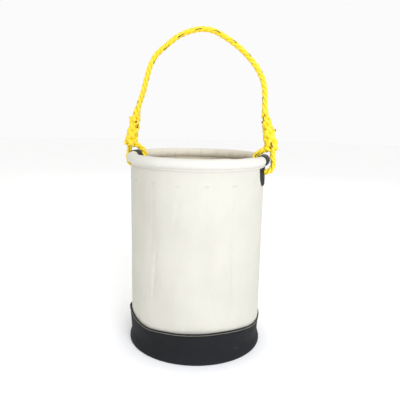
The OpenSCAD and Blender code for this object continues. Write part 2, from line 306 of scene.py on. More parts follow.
finishes = {
    "wallCanvas": canvasFinish("wallCanvas", {
        "colour": (0.6, 0.587, 0.515), "pitch": 0.00105, "sheen": 0.02, "insideTurn": 0.0, "inside": 0.9,
        "insideShadingColour": (0.8, 0.7, 0.52, 1), "dust": 0.16, "crumple": 1.0,
        "dustColour": (0.56, 0.54, 0.46, 1), "creaseShade": 0.5, "creaseShadeColour": (0.52, 0.5, 0.43, 1)}),
    "pocketCanvas": canvasFinish("pocketCanvas", {
        "colour": (0.66, 0.62, 0.5), "pitch": 0.00085, "sheen": 0.03, "insideTurn": 0.0, "inside": 0.0,
        "insideShadingColour": (0.6, 0.53, 0.4, 1), "dust": 0.2, "crumple": 1.0,
        "dustColour": (0.5, 0.48, 0.42, 1), "creaseShade": 0.55, "creaseShadeColour": (0.48, 0.46, 0.41, 1)}),
    "rimCanvas": canvasFinish("rimCanvas", {
        "colour": (0.68, 0.666, 0.605), "pitch": 0.0008, "sheen": 0.02, "insideTurn": -0.4, "inside": 0.55,
        "insideShadingColour": (0.7, 0.62, 0.47, 1), "dust": 0.12, "crumple": 0.7,
        "dustColour": (0.62, 0.6, 0.52, 1), "creaseShade": 0.45, "creaseShadeColour": (0.56, 0.55, 0.5, 1)}),
    "bootVinyl": hideFinish("bootVinyl", {
        "colour": (0.015, 0.0165, 0.018), "grain": 620.0, "gloss": 0.08, "rough": 0.62, "scuff": 0.22,
        "rubColour": (0.075, 0.075, 0.075, 1)}),
    "patchLeather": hideFinish("patchLeather", {
        "colour": (0.006, 0.0065, 0.008), "grain": 820.0, "gloss": 0.2, "rough": 0.5, "scuff": 0.1,
        "rubColour": (0.035, 0.037, 0.045, 1)}),
    "guardLeather": hideFinish("guardLeather", {
        "colour": (0.010, 0.012, 0.019), "grain": 820.0, "gloss": 0.3, "rough": 0.42, "scuff": 0.15,
        "rubColour": (0.05, 0.055, 0.075, 1)}),
    "ropeYellow": ropeFinish("ropeYellow", {
        "colour": (0.91, 0.72, 0.012, 1), "light": (0.96, 0.85, 0.035, 1), "shadow": (0.78, 0.47, 0.005, 1),
        "creviceShade": (0.74, 0.44, 0.008, 1), "tracer": (0.02, 0.02, 0.022, 1), "yarns": 9.0, "yarnTurn": -0.024,
        "tracerWidth": 0.055, "tracerStrands": 1}),
    "meltedTip": plainFinish("meltedTip", {
        "dark": (0.03, 0.015, 0.006, 1), "light": (0.25, 0.11, 0.012, 1), "rough": 0.35,
        "stretch": (400, 400, 400), "depth": 0.0004}),
    "lightThread": plainFinish("lightThread", {
        "dark": (0.42, 0.38, 0.28, 1), "light": (0.72, 0.68, 0.56, 1), "rough": 0.6,
        "stretch": (2500, 2500, 2500), "depth": 0.0002}),
    "whiteThread": plainFinish("whiteThread", {
        "dark": (0.58, 0.565, 0.49, 1), "light": (0.7, 0.68, 0.6, 1), "rough": 0.6,
        "stretch": (2500, 2500, 2500), "depth": 0.0002}),
    "blackThread": plainFinish("blackThread", {
        "dark": (0.02, 0.02, 0.025, 1), "light": (0.07, 0.07, 0.08, 1), "rough": 0.5,
        "stretch": (2500, 2500, 2500), "depth": 0.0002}),
    "darkBrass": plainFinish("darkBrass", {
        "dark": (0.06, 0.05, 0.035, 1), "light": (0.2, 0.15, 0.08, 1), "rough": 0.42, "metal": 1.0,
        "stretch": (500, 500, 500), "depth": 0.0001}),
    "hoopPlastic": plainFinish("hoopPlastic", {
        "dark": (0.66, 0.67, 0.67, 1), "light": (0.76, 0.77, 0.77, 1), "rough": 0.45,
        "stretch": (60, 60, 60), "depth": 0.0001}),
    "fibreboard": plainFinish("fibreboard", {
        "dark": (0.2, 0.12, 0.06, 1), "light": (0.36, 0.25, 0.15, 1), "rough": 0.8,
        "stretch": (900, 900, 900), "depth": 0.0003}),
    "studioFloor": plainFinish("studioFloor", {
        "dark": shade(studio["floor"], 0.99), "light": shade(studio["floor"], 1.0), "rough": 0.8,
        "gloss": 0.1, "stretch": (3, 3, 3), "depth": 0.0001}),
}
print("materials made:", len(finishes))


def addPiece(name, mesh, finish):
    piece = bpy.data.objects.new(name, mesh)
    scene.collection.objects.link(piece)
    mesh.materials.append(finishes[finish])
    mesh.polygons.foreach_set("use_smooth", np.ones(len(mesh.polygons), bool))
    return piece


# A number at every point of a mesh, for its material to read.
def markPoints(mesh, name, values):
    mesh.attributes.new(name, "FLOAT", "POINT").data.foreach_set("value", values.astype(np.float32).ravel())


# points is rows x columns; cloth is each corner's place on the flat cloth, with one column more if closed.
def gridMesh(name, points, cloth, closed=False, worn=None):
    rows, columns = points.shape[:2]
    across = columns if closed else columns - 1
    i, j = (a.ravel() for a in np.meshgrid(np.arange(rows - 1), np.arange(across), indexing="ij"))
    right = (j + 1) % columns
    corners = np.stack([i * columns + j, i * columns + right,
                        (i + 1) * columns + right, (i + 1) * columns + j], 1)
    mesh = bpy.data.meshes.new(name)
    mesh.from_pydata(points.reshape(-1, 3).tolist(), [], corners.tolist())
    layer = mesh.uv_layers.new(name="cloth")
    uvs = np.stack([cloth[i, j], cloth[i, j + 1], cloth[i + 1, j + 1], cloth[i + 1, j]], 1)
    layer.data.foreach_set("uv", uvs.astype(np.float32).ravel())
    if worn is not None:
        markPoints(mesh, "worn", worn)
    return mesh


# The piece's modifiers are made part of its mesh.
def settle(piece):
    mesh = bpy.data.meshes.new_from_object(piece.evaluated_get(bpy.context.evaluated_depsgraph_get()))
    piece.modifiers.clear()
    piece.data = mesh
    return piece


def thicken(piece, thickness, round=0.0):
    solid = piece.modifiers.new("thickness", "SOLIDIFY")
    solid.thickness, solid.offset, solid.use_even_offset = thickness, -1, True
    if round:
        bevel = piece.modifiers.new("edge", "BEVEL")
        bevel.width, bevel.segments, bevel.angle_limit = round, 2, math.radians(50)
    return settle(piece)


# Soft unevenness of about 1 that joins itself round the bucket.
def ripple(around, up, seed, waves, turns, heights):
    pick = np.random.default_rng(seed)
    total = 0
    for _ in range(waves):
        n, m = pick.integers(turns[0], turns[1] + 1), pick.uniform(*heights) * 2 * math.pi
        total = total + pick.uniform(0.5, 1) * np.sin(n * around + m * up + pick.uniform(0, 2 * math.pi))
    return total / math.sqrt(waves)


def step(value, low, high):
    t = np.clip((value - low) / (high - low), 0, 1)
    return t * t * (3 - 2 * t)


def polar(r, around, z):
    return np.stack(np.broadcast_arrays(r * np.cos(around), r * np.sin(around), z), -1)


def ringAngles(count):
    return np.arange(count) * 2 * math.pi / count


rope = {"diameter": 0.0127, "pitch": 0.04, "helix": 0.0033, "strand": 0.00318, "sides": 14, "ring": 0.0013,
        "pivotX": 0.1635, "pivotZ": 0.4791, "topX": 0.1488, "topZ": 0.5431, "holeZ": 0.40915}
# Where the rope runs in the CAD model, as (x, z) in millimetres: from the splice on the rim through the
# hole and back for one eye, and from one splice over to the other for the bow.
eyeRoute = [(156.9, 464.7), (152.1, 459.0), (143.2, 453.2), (136.7, 448.6), (132.3, 441.9),
            (130.8, 434.0), (130.8, 425.1), (132.9, 417.1), (138.8, 411.3), (146.8, 409.1),
            (151.8, 409.1), (156.9, 409.1), (164.9, 411.3), (170.7, 417.1), (172.9, 425.1),
            (172.9, 434.0), (171.3, 441.9), (170.6, 453.3), (170.2, 464.7)]
bowRoute = [(-148.8, 543.1), (-141.9, 562.4), (-133.6, 586.2), (-126.0, 614.7), (-116.1, 643.3),
            (-100.9, 665.9), (-78.9, 683.7), (-53.9, 701.5), (-27.3, 712.2), (3.0, 717.0), (30.4, 712.2),
            (55.4, 699.2), (80.5, 682.5), (103.2, 662.3), (123.7, 639.7), (138.1, 617.1), (145.0, 596.9),
            (148.0, 573.1), (148.8, 543.1)]


# A Catmull-Rom line through the points, with even steps, and its directions.
def smoothLine(points, ring):
    p = np.array([(x, 0, z) for x, z in points], float)
    p = np.vstack([2 * p[0] - p[1], p, 2 * p[-1] - p[-2]])
    t = np.linspace(0, 1, 40, endpoint=False)[:, None]
    parts = []
    for a, b, c, d in zip(p[:-3], p[1:-2], p[2:-1], p[3:]):
        parts.append(0.5 * (2 * b + (c - a) * t + (2 * a - 5 * b + 4 * c - d) * t ** 2
                            + (3 * b - a - 3 * c + d) * t ** 3))
    fine = np.vstack(parts + [p[-2][None]])
    run = np.concatenate([[0], np.cumsum(np.linalg.norm(np.diff(fine, axis=0), axis=1))])
    places = np.linspace(0, run[-1], max(int(run[-1] / ring), 4) + 1)
    line = np.stack([np.interp(places, run, fine[:, k]) for k in range(3)], 1)
    ahead = np.gradient(line, places, axis=0)
    return line, ahead / np.linalg.norm(ahead, axis=1)[:, None], places


# One strand wound round a line in the XZ plane; turn is its angle at each point.
def layStrand(line, ahead, turn, helix, radius, sides, number, worn=None):
    flank = np.tile([0.0, 1.0, 0.0], (len(line), 1))
    outward = np.cross(flank, ahead)
    away = np.cos(turn)[:, None] * outward + np.sin(turn)[:, None] * flank
    middle = line + away * np.broadcast_to(helix, turn.shape)[:, None]
    along = np.gradient(middle, axis=0)
    along /= np.linalg.norm(along, axis=1)[:, None]
    away = away - (away * along).sum(1)[:, None] * along
    away /= np.linalg.norm(away, axis=1)[:, None]
    beside = np.cross(along, away)
    angles = -math.pi + ringAngles(sides)
    reach = np.broadcast_to(radius, turn.shape)[:, None, None]
    rings = middle[:, None] + reach * (np.cos(angles)[None, :, None] * away[:, None]
                                      + np.sin(angles)[None, :, None] * beside[:, None])
    u = np.concatenate([angles, [math.pi]]) / (2 * math.pi)
    run = np.concatenate([[0], np.cumsum(np.linalg.norm(np.diff(middle, axis=0), axis=1))]) + number * 0.007
    cloth = np.stack(np.broadcast_arrays(u[None, :], run[:, None]), -1)
    # The side of each strand that faces the rope's middle is darkened: painted shade where the strands meet.
    low = np.clip(1 - (1 + np.cos(angles)) * 0.9, 0, 1)[None, :] * np.ones((len(line), 1))
    if worn is not None:
        low = np.clip(low + worn[:, None], 0, 1)
    return rings, cloth, low, number


# All strands of one piece in one mesh, each closed at both ends.
def strandMesh(name, strands):
    points, faces, uvs, low, numbers = [], [], [], [], []
    start = 0
    for rings, cloth, worn, number in strands:
        rows, columns = rings.shape[:2]
        for i in range(rows - 1):
            for j in range(columns):
                k = (j + 1) % columns
                faces.append([start + i * columns + j, start + i * columns + k,
                              start + (i + 1) * columns + k, start + (i + 1) * columns + j])
                uvs += [cloth[i, j], cloth[i, j + 1], cloth[i + 1, j + 1], cloth[i + 1, j]]
        faces.append([start + j for j in range(columns - 1, -1, -1)])
        uvs += [cloth[0, j] for j in range(columns - 1, -1, -1)]
        faces.append([start + (rows - 1) * columns + j for j in range(columns)])
        uvs += [cloth[-1, j] for j in range(columns)]
        points.append(rings.reshape(-1, 3))
        low.append(worn.ravel())
        numbers.append(np.full(rows * columns, float(number)))
        start += rows * columns
    mesh = bpy.data.meshes.new(name)
    mesh.from_pydata(np.vstack(points).tolist(), [], faces)
    mesh.uv_layers.new(name="cloth").data.foreach_set("uv", np.array(uvs, np.float32).ravel())
    markPoints(mesh, "worn", np.concatenate(low))
    markPoints(mesh, "strand", np.concatenate(numbers))
    return mesh


def layRope(name, points, r, firstTurn=0.0):
    line, ahead, places = smoothLine([(x * mm, z * mm) for x, z in points], r["ring"])
    strands = []
    for k in range(3):
        turn = firstTurn + k * 2 * math.pi / 3 - places * 2 * math.pi / r["pitch"]
        wobble = 1 + 0.035 * np.sin(places * 240 + k * 2.1) + 0.02 * np.sin(places * 610 + k)
        strands.append(layStrand(line, ahead, turn, r["helix"], r["strand"] * wobble, r["sides"], k))
    return addPiece(name, strandMesh(name, strands), "ropeYellow"), line


# A point on a splice's axis, s metres above its pivot, as (x, z) in millimetres.
def axisPoint(r, side, s):
    length = math.hypot(r["topX"] - r["pivotX"], r["topZ"] - r["pivotZ"])
    t = s / length
    return (side * (r["pivotX"] + t * (r["topX"] - r["pivotX"])) / mm,
            (r["pivotZ"] + t * (r["topZ"] - r["pivotZ"])) / mm)


splice = {"from": -0.0235, "to": 0.0665, "foot": 0.0118, "top": 0.0078, "wide": 0.38, "pitch": 0.052,
          "backPitch": 0.07, "core": 0.0048, "tuck": 0.0044, "shoulder": {"left": 0.58, "right": 0.42}}


# Three strands of the rope with three tucked back through them, over one and under one, then thinned.
def buildSplice(side, sign, r, s):
    points = [axisPoint(r, sign, v) for v in np.linspace(s["from"], s["to"], 12)]
    line, ahead, places = smoothLine([(x * mm, z * mm) for x, z in points], r["ring"])
    t = places / places[-1]
    thinned = step(t, s["shoulder"][side], 1.0)
    outer = s["foot"] + (s["top"] - s["foot"]) * (0.2 * t + 0.8 * thinned)
    start = step(places, -0.002, 0.012)
    flank = np.cross(np.tile([0.0, 1.0, 0.0], (len(line), 1)), ahead)
    strands = []
    for k in range(3):
        core = 0.4 * sign + k * 2 * math.pi / 3 - places * 2 * math.pi / s["pitch"]
        tuck = k * 2 * math.pi / 3 + 0.5 + places * 2 * math.pi / s["backPitch"]
        beat = np.cos(1.5 * (tuck - core))
        fat = s["core"] * (1 - 0.36 * thinned) * (0.45 + 0.55 * start)
        # A strand is darkened where it runs under another: painted shade.
        strands.append(layStrand(line, ahead, core, outer - fat - 0.0008 - 0.0012 * beat, fat, r["sides"], k,
                                 0.12 * np.clip(beat, 0, 1)))
        thin = s["tuck"] * (1 - 0.55 * thinned) * (1 + 0.08 * np.sin(places * 330 + k * 2)) \
            * (0.45 + 0.55 * start)
        strands.append(layStrand(line, ahead, tuck, outer - thin + 0.0010 * beat - 0.0003, thin,
                                 r["sides"], k + 3, 0.1 * np.clip(-beat, 0, 1)))
    widen = (s["wide"] * (1 - 0.55 * step(t, 0.1, 0.5)) * (1 - thinned))[:, None]
    for rings, _, _, _ in strands:
        off = ((rings - line[:, None]) * flank[:, None]).sum(-1)
        rings += (off * widen)[..., None] * flank[:, None]
    name = f"ropeSplice_{side}"
    return addPiece(name, strandMesh(name, strands), "ropeYellow")


# Cut strand ends that stand out of a splice: how far up it, where they point, and their sizes; and its
# loose fibres.
strandEnds = {
    "left": [{"s": 0.047, "toward": (-1, -0.25, 0.75), "depth": 0.0098, "length": 0.006, "radius": 0.0031},
             {"s": 0.030, "toward": (-0.25, 1, 0.75), "depth": 0.0092, "length": 0.0062, "radius": 0.0029},
             {"s": 0.038, "toward": (0.5, -0.9, 0.8), "depth": 0.0086, "length": 0.0058, "radius": 0.0028}],
    "right": [{"s": 0.027, "toward": (1, -0.2, 0.75), "depth": 0.0112, "length": 0.0062, "radius": 0.0031},
              {"s": 0.038, "toward": (-0.15, 1, 0.75), "depth": 0.0086, "length": 0.006, "radius": 0.0029},
              {"s": 0.044, "toward": (-0.6, -0.8, 0.8), "depth": 0.0072, "length": 0.0058, "radius": 0.0028}]}
fibres = {"count": 26, "radius": 0.00022, "from": 0.0066, "seed": {"right": 71, "left": 72}}


def tubeRings(line, radii, sides):
    ahead = np.gradient(line, axis=0)
    ahead /= np.linalg.norm(ahead, axis=1)[:, None]
    helper = np.array([0.13, 0.21, 0.97]) if abs(ahead[0, 2]) < 0.9 else np.array([0.97, 0.21, 0.13])
    first = np.cross(ahead, helper)
    first /= np.linalg.norm(first, axis=1)[:, None]
    second = np.cross(ahead, first)
    angles = ringAngles(sides)
    return line[:, None] + radii[:, None, None] * (np.cos(angles)[None, :, None] * first[:, None]
                                                 + np.sin(angles)[None, :, None] * second[:, None])


# The ends of the tucked strands, each with a melted tip, and a few loose fibres.
def buildStrandEnds(side, sign, r, ends):
    stubs, tips, hairs = [], [], []
    for number, e in enumerate(ends):
        x, z = axisPoint(r, sign, e["s"])
        toward = np.array(e["toward"], float)
        toward /= np.linalg.norm(toward)
        level = np.array([toward[0], toward[1], 0.0])
        level /= np.linalg.norm(level)
        start = np.array([x * mm, 0, z * mm]) + level * e["depth"] - np.array([0, 0, 0.006])
        t = np.linspace(0, 1, 12)[:, None]
        line = start + level * e["length"] * 0.35 * t + toward * e["length"] * 0.7 * t ** 1.6
        radii = e["radius"] * (0.96 + 0.1 * t[:, 0])
        rings = tubeRings(line, radii, 12)
        u = np.linspace(-0.5, 0.5, 13)
        cloth = np.stack(np.broadcast_arrays(u[None, :], t * e["length"]), -1)
        stubs.append((rings, cloth, np.zeros(rings.shape[:2]), number + 3))
        way = (line[-1] - line[-2]) / np.linalg.norm(line[-1] - line[-2])
        s = np.linspace(0, 1, 7)[:, None]
        cap = line[-1] - way * 0.0009 + way * 0.0022 * s
        capRadii = e["radius"] * 1.04 * np.sqrt(np.clip(1 - (s[:, 0] * 0.98) ** 3, 0.02, 1))
        rings = tubeRings(cap, capRadii, 12)
        tips.append((rings, np.zeros((7, 13, 2)), np.zeros(rings.shape[:2]), number))
    pick = np.random.default_rng(fibres["seed"][side])
    for number in range(fibres["count"]):
        x, z = axisPoint(r, sign, pick.uniform(0.004, 0.06))
        a = pick.uniform(0, 2 * math.pi)
        out = np.array([math.cos(a), math.sin(a), pick.uniform(-0.5, 0.8)])
        t = np.linspace(0, 1, 5)[:, None]
        line = np.array([x * mm, 0, z * mm]) + out * fibres["from"] + out * pick.uniform(0.002, 0.0045) * t \
            + np.array([0, 0, pick.uniform(-0.002, 0.002)]) * t ** 2
        rings = tubeRings(line, fibres["radius"] * (1.1 - 0.6 * t[:, 0]), 5)
        hairs.append((rings, np.zeros((5, 6, 2)), np.zeros(rings.shape[:2]), 4))
    made = [addPiece(f"strandEnds_{side}", strandMesh(f"strandEnds_{side}", stubs + hairs), "ropeYellow"),
            addPiece(f"meltedTips_{side}", strandMesh(f"meltedTips_{side}", tips), "meltedTip")]
    for piece in made:
        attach(piece, "handle")
    return made


def buildRope(r, s):
    sunk = 0.058  # the bow starts this far up a splice
    route = [axisPoint(r, -1, sunk)] + bowRoute + [axisPoint(r, 1, sunk)]
    bow, bowLine = layRope("ropeBow", route, r, 0.4)
    onRope = []
    for side, sign in (("left", -1), ("right", 1)):
        middle = r["pivotX"] / mm  # the two legs run on up inside the splice
        inner = [(middle - 5.2, 493), (middle - 5.4, 484), (middle - 6.0, 474.5)]
        outer = [(middle + 5.2, 474.5), (middle + 2.2, 484), (middle - 0.6, 493)]
        route = [(sign * x, z) for x, z in inner + eyeRoute + outer]
        loop, _ = layRope(f"ropeEye_{side}", route, r, 1.1 * sign)
        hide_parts(f"rope_eye_{side}")
        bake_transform(loop)
        piece = buildSplice(side, sign, r, s)
        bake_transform(piece)
        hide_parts(f"splice_{side}")
        onRope += [loop, piece] + buildStrandEnds(side, sign, r, strandEnds[side])
    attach(bow, "handle")
    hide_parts("rope_bow")
    bowLine[::3].tolist() + [bowLine[-1].tolist()]


buildRope(rope, splice)

bucket = {"wallR": 0.1525, "wallT": 0.0014, "rimZ": 0.434, "rimR": 0.1518, "sleeveR": 0.011, "skirtZ": 0.4197,
          "pocketTop": 0.388, "pocketFoot": 0.142, "pockets": 16, "plyR": 0.1476, "plyZ": 0.0061,
          "sharpSeams": (-112.5, -45, 22.5, 67.5, 135, -157.5)}  # degrees, where a pocket seam shows outside
boot = {"thickness": 0.0018, "topMean": 0.0715, "topSwing": 0.007, "topSwingAt": math.radians(-170),
        "hem": 0.009,
        "topBumps": [(-49, 0.0065, 32), (-119, -0.0065, 24), (-182, -0.011, 20), (-152, 0.004, 11)],
        "heights": [0, 0.002, 0.006, 0.012, 0.02, 0.029, 0.042, 0.056, 0.068, 0.085],
        "radii": [0.1552, 0.1566, 0.1572, 0.1556, 0.1527, 0.1516, 0.1527, 0.1544, 0.1556, 0.1566]}
# creases in the wall: angle, lowest and highest point, slant, depth and half-width
creases = [(-114, 0.142, 0.262, 3, 1.6, 3.2), (-45.5, 0.135, 0.285, -4, 1.5, 3.0),
           (-96, 0.30, 0.375, 5, 0.8, 4.5), (-60, 0.09, 0.16, -6, 0.9, 4.0), (-20, 0.11, 0.30, 3, 0.7, 3.4),
           (24, 0.14, 0.28, -5, 0.7, 3.4), (66, 0.10, 0.24, 5, 0.7, 3.5), (118, 0.16, 0.31, -4, 0.75, 3.4),
           (151, 0.10, 0.27, 6, 0.7, 3.4), (-154, 0.12, 0.29, -5, 0.8, 3.2), (-78, 0.09, 0.15, 4, 0.4, 4.0),
           (-128, 0.10, 0.2, 5, 0.5, 4.0)]


# The angle from one bearing to another, from minus to plus half a turn.
def awayFrom(around, at):
    return np.mod(around - at + math.pi, 2 * math.pi) - math.pi


def bootTop(around):
    lift = 0.0
    for angle, height, width in boot["topBumps"]:
        lift = lift + height * np.exp(-(awayFrom(around, math.radians(angle)) / math.radians(width)) ** 2)
    return (boot["topMean"] + lift + boot["topSwing"] * np.cos(around - boot["topSwingAt"])
            + 0.0008 * ripple(around, 0, 11, 7, (3, 17), (0, 0)))


# Outer face of the boot: flared at the floor, waisted above it, and loose again at its top.
def bootRadius(around, z):
    profile = np.interp(z, boot["heights"], boot["radii"])
    above = np.interp(np.asarray(z) + 0.003, boot["heights"], boot["radii"])
    uneven = 0.0009 * ripple(around, z, 12, 9, (2, 9), (0, 9)) * step(z, 0.004, 0.03)
    loose = 0.0011 * step(z, 0.055, 0.085) * (1.2 + ripple(around, z, 13, 5, (2, 7), (0, 3)))
    return 0.5 * (profile + above) + uneven + loose


# Outer face of the canvas wall.
def wallRadius(around, z):
    r = bucket["wallR"] + 0.0010 * ripple(around, z, 21, 12, (2, 7), (-3, 3)) \
        + 0.00028 * ripple(around, z, 22, 22, (8, 30), (-9, 9))
    for angle, low, high, slant, depth, width in creases:
        at = math.radians(angle) + np.radians(slant) * (z - low) / (high - low)
        away = awayFrom(around, at) * bucket["wallR"] / (width * mm)
        fade = step(z, low - 0.02, low + 0.03) * (1 - step(z, high - 0.03, high + 0.02))
        beads = 0.7 + 0.5 * np.sin(z * 310 + angle) * np.sin(z * 97 + 2 * angle)
        ridge, dip = 0.7 * np.exp(-away ** 2 / 2), 0.85 * np.exp(-(away - 2.0) ** 2 / 1.2)
        r = r + depth * mm * fade * beads * (ridge - dip)
    apart = 2 * math.pi / bucket["pockets"]
    fromSeam = (np.mod(around + apart / 2, apart) - apart / 2) * bucket["wallR"] / mm
    inSeam = step(z, bucket["pocketFoot"] - 0.01, bucket["pocketFoot"] + 0.004) \
        * (1 - step(z, bucket["pocketTop"], bucket["pocketTop"] + 0.003))
    sharp = sum(np.exp(-(awayFrom(around, math.radians(v)) / 0.12) ** 2) for v in bucket["sharpSeams"])
    r = r - (0.00008 + 0.0005 * sharp) * np.exp(-fromSeam ** 2 / 3.4) * inSeam
    aboveBoot = np.exp(-np.clip(z - bootTop(around), 0, 1) / 0.014)
    r = r + 0.00035 * aboveBoot * ripple(around, z, 23, 12, (30, 74), (0, 5))
    underRim = np.exp(-np.clip(bucket["skirtZ"] - z, 0, 1) / 0.012)
    r = r + 0.00035 * underRim * ripple(around, z, 24, 12, (36, 84), (0, 5))
    top = step(z, 0.40, 0.418)
    r = r * (1 - top) + (bucket["wallR"] + 0.35 * (r - bucket["wallR"])) * top
    inside = bootRadius(around, z) - boot["thickness"] - 0.0005
    return np.where(z < 0.1, np.minimum(r, inside), r)


def buildWall(b):
    around = ringAngles(320)
    z = np.concatenate([np.linspace(0.0021, 0.095, 40), np.linspace(0.098, 0.38, 96),
                        np.linspace(0.382, 0.4232, 18)])
    a, zz = np.meshgrid(around, z)
    points = polar(wallRadius(a, zz), a, zz)
    run = np.append(around, 2 * math.pi) * b["wallR"]
    cloth = np.stack(np.meshgrid(run, z), -1)
    # Painted shade in the crease valleys and under the rim sleeve; the cloth is also darker just above the
    # boot's top edge.
    low = bucket["wallR"] - wallRadius(a, zz)
    worn = np.clip(low / 0.0016, 0, 1) * 0.6 + 0.7 * np.exp(-np.clip(bucket["skirtZ"] - zz, 0, 1) / 0.004) \
        + 0.5 * np.exp(-np.clip(zz - bootTop(a), 0, 1) / 0.006)
    wall = addPiece("canvasWall", gridMesh("canvasWall", points, cloth, True, worn), "wallCanvas")
    thicken(wall, b["wallT"])
    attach(wall, "bucket")
    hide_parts("side_wall")


def buildBoot(b, s):
    around = ringAngles(320)
    v = np.concatenate([np.linspace(0, 0.25, 12, endpoint=False), np.linspace(0.25, 0.82, 22, endpoint=False),
                        np.linspace(0.82, 1, 12)])
    a, vv = np.meshgrid(around, v)
    z = 0.0002 + vv * (bootTop(a) - 0.0002)
    down = bootTop(a) - z
    hem = 0.0007 * (1 - step(down, s["hem"] - 0.0012, s["hem"] + 0.0006)) * step(down, 0.0, 0.0014)
    groove = 0.0005 * np.exp(-((down - 0.0046) / 0.0008) ** 2)
    points = polar(bootRadius(a, z) + hem - groove, a, z)
    cloth = np.stack(np.meshgrid(np.append(around, 2 * math.pi) * b["wallR"], v * 0.072), -1)
    worn = 0.8 * np.exp(-down / 0.0012) + 0.7 * np.exp(-z / 0.003)
    band = addPiece("bootBand", gridMesh("bootBand", points, cloth, True, worn), "bootVinyl")
    thicken(band, s["thickness"], 0.0005)
    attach(band, "bucket")
    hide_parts("boot_band")


# The rim sleeve's section from its outer edge over the hoop to its inner edge, as (away, up).
def sleeveProfile(b, steps):
    leg = [(0.0023, z) for z in np.linspace(b["skirtZ"], 0.4224, 4)]
    sweep = [(b["sleeveR"] * math.cos(t), b["rimZ"] + b["sleeveR"] * math.sin(t))
             for t in np.linspace(math.radians(-66), math.radians(246), steps)]
    return leg + sweep + [(-x, z) for x, z in reversed(leg)]


def buildSleeve(b):
    profile = np.array(sleeveProfile(b, 40))
    around = ringAngles(360)
    a, row = np.meshgrid(around, np.arange(len(profile)))
    away, up = profile[row, 0], profile[row, 1]
    low = np.exp(-np.clip(up - 0.4225, 0, 1) / 0.0035)
    pucker = ripple(a, up, 31, 26, (44, 110), (0, 8)) * low * 0.00013
    lump = ripple(a, up, 32, 14, (3, 22), (0, 20)) * 0.00032
    swell = 1 + (pucker + lump) / b["sleeveR"]
    creaseIn = 0.0008 * ripple(a, up, 33, 30, (12, 60), (0, 3)) * (away < 0) \
        * np.exp(-np.abs(up - 0.43) / 0.012)
    fold = np.mod(a * 22 / (2 * math.pi) + 0.25 * np.sin(3 * a), 1)
    within = np.clip(-away / 0.005, 0, 1)
    r = b["rimR"] + away * swell - creaseIn - 0.0016 * fold * within
    z = b["rimZ"] + (up - b["rimZ"]) * np.where(up > 0.424, swell, 1)
    points = polar(r, a, z)
    run = np.concatenate([[0], np.cumsum(np.linalg.norm(np.diff(profile, axis=0), axis=1))])
    cloth = np.stack(np.meshgrid(np.append(around, 2 * math.pi) * b["wallR"], run), -1)
    # Painted shade: the sleeve is darker along its low edge, where it puckers, and along the fold lines on
    # its inner side.
    worn = low * (0.35 + 0.25 * ripple(a, up, 34, 20, (30, 90), (0, 3)))
    worn = np.clip(worn + within * np.exp(-np.minimum(fold, 1 - fold) / 0.06), 0, 1)
    sleeve = addPiece("rimSleeve", gridMesh("rimSleeve", points, cloth, True, worn), "rimCanvas")
    thicken(sleeve, 0.0012)
    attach(sleeve, "bucket")
    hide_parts("rim_sleeve")


def buildBottom(b):
    count = 128
    reach = np.linspace(0.0, 1.0, 26)[1:]
    a, t = np.meshgrid(ringAngles(count), reach)
    r = b["plyR"] * t
    z = b["plyZ"] + 0.0006 * (1 + ripple(a, r, 41, 10, (1, 6), (2, 22))) * np.sin(math.pi * t) ** 0.5 \
        + 0.0004 * step(t, 0.9, 1.0) * (1 + ripple(a, r, 42, 12, (20, 60), (0, 2)))
    points = polar(r, a, z)[::-1]
    cloth = np.concatenate([points, points[:, :1]], 1)[..., :2]
    mesh = gridMesh("bottomPly", points, cloth, True, np.zeros(a.shape))
    disc = addPiece("bottomPly", mesh, "pocketCanvas")
    fillMiddle(disc, (len(reach) - 1) * count, count)
    thicken(disc, 0.001)
    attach(disc, "bucket")
    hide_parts("bottom_ply")


# Fills the hole inside a disc's innermost ring of points.
def fillMiddle(piece, first, count):
    bm = bmesh.new()
    bm.from_mesh(piece.data)
    bm.verts.ensure_lookup_table()
    layer = bm.loops.layers.uv["cloth"]
    face = bm.faces.new([bm.verts[first + k] for k in range(count)])
    face.smooth = True
    for loop in face.loops:
        loop[layer].uv = loop.vert.co.xy
    bm.to_mesh(piece.data)
    bm.free()


# the guard runs round the rim between two angles, in degrees; the patch's outline is in shares of its size
guard = {"width": 0.050, "radius": 0.0127, "thickness": 0.0016, "from": -47, "to": 227}
patch = {"width": 0.072, "height": 0.041, "innerHeight": 0.026, "thickness": 0.0016, "top": 0.4196,
         "hole": 0.0077, "ridge": 0.00045, "ridgePitch": 0.0072,
         "outline": [(0, 0), (0.47, 0), (0.5, -0.03), (0.49, -0.25), (0.47, -0.5), (0.43, -0.68),
                     (0.37, -0.84), (0.29, -0.95), (0.2, -1), (0, -1)]}


# The left side's piece is the right side's, turned half round.
def turned(points, side):
    return points if side == "right" else points * np.array([-1, -1, 1])


def buildGuard(side, b, s):
    half = s["width"] / 2
    u = np.linspace(-1, 1, 37)
    v = np.linspace(math.radians(s["from"]), math.radians(s["to"]), 60)
    uu, vv = np.meshgrid(u, v)
    end = np.minimum(vv - v[0], v[-1] - vv) * s["radius"]
    width = half * (1 - 0.1 * (1 - step(end, 0, 0.006)) + 0.02 * np.sin(3 * vv))
    swell = 0.00025 * ripple(uu * 2.1, vv * 0.02, 51, 8, (1, 5), (10, 60)) \
        - 0.00035 * np.exp(-((np.abs(uu) - 0.86) / 0.05) ** 2)
    reach = s["radius"] + 0.0001 + swell
    points = polar(b["rimR"] + reach * np.cos(vv), uu * width / b["rimR"], b["rimZ"] + reach * np.sin(vv))
    cloth = np.stack([uu * half, vv * s["radius"]], -1)
    worn = 0.7 * np.exp(-(1 - np.abs(uu)) / 0.03) + 0.5 * np.exp(-end / 0.001)
    mesh = gridMesh(f"rimGuard_{side}", turned(points, side), cloth, False, worn)
    piece = addPiece(f"rimGuard_{side}", mesh, "guardLeather")
    thicken(piece, s["thickness"], 0.0005)
    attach(piece, "bucket")
    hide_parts(f"rim_guard_{side}")


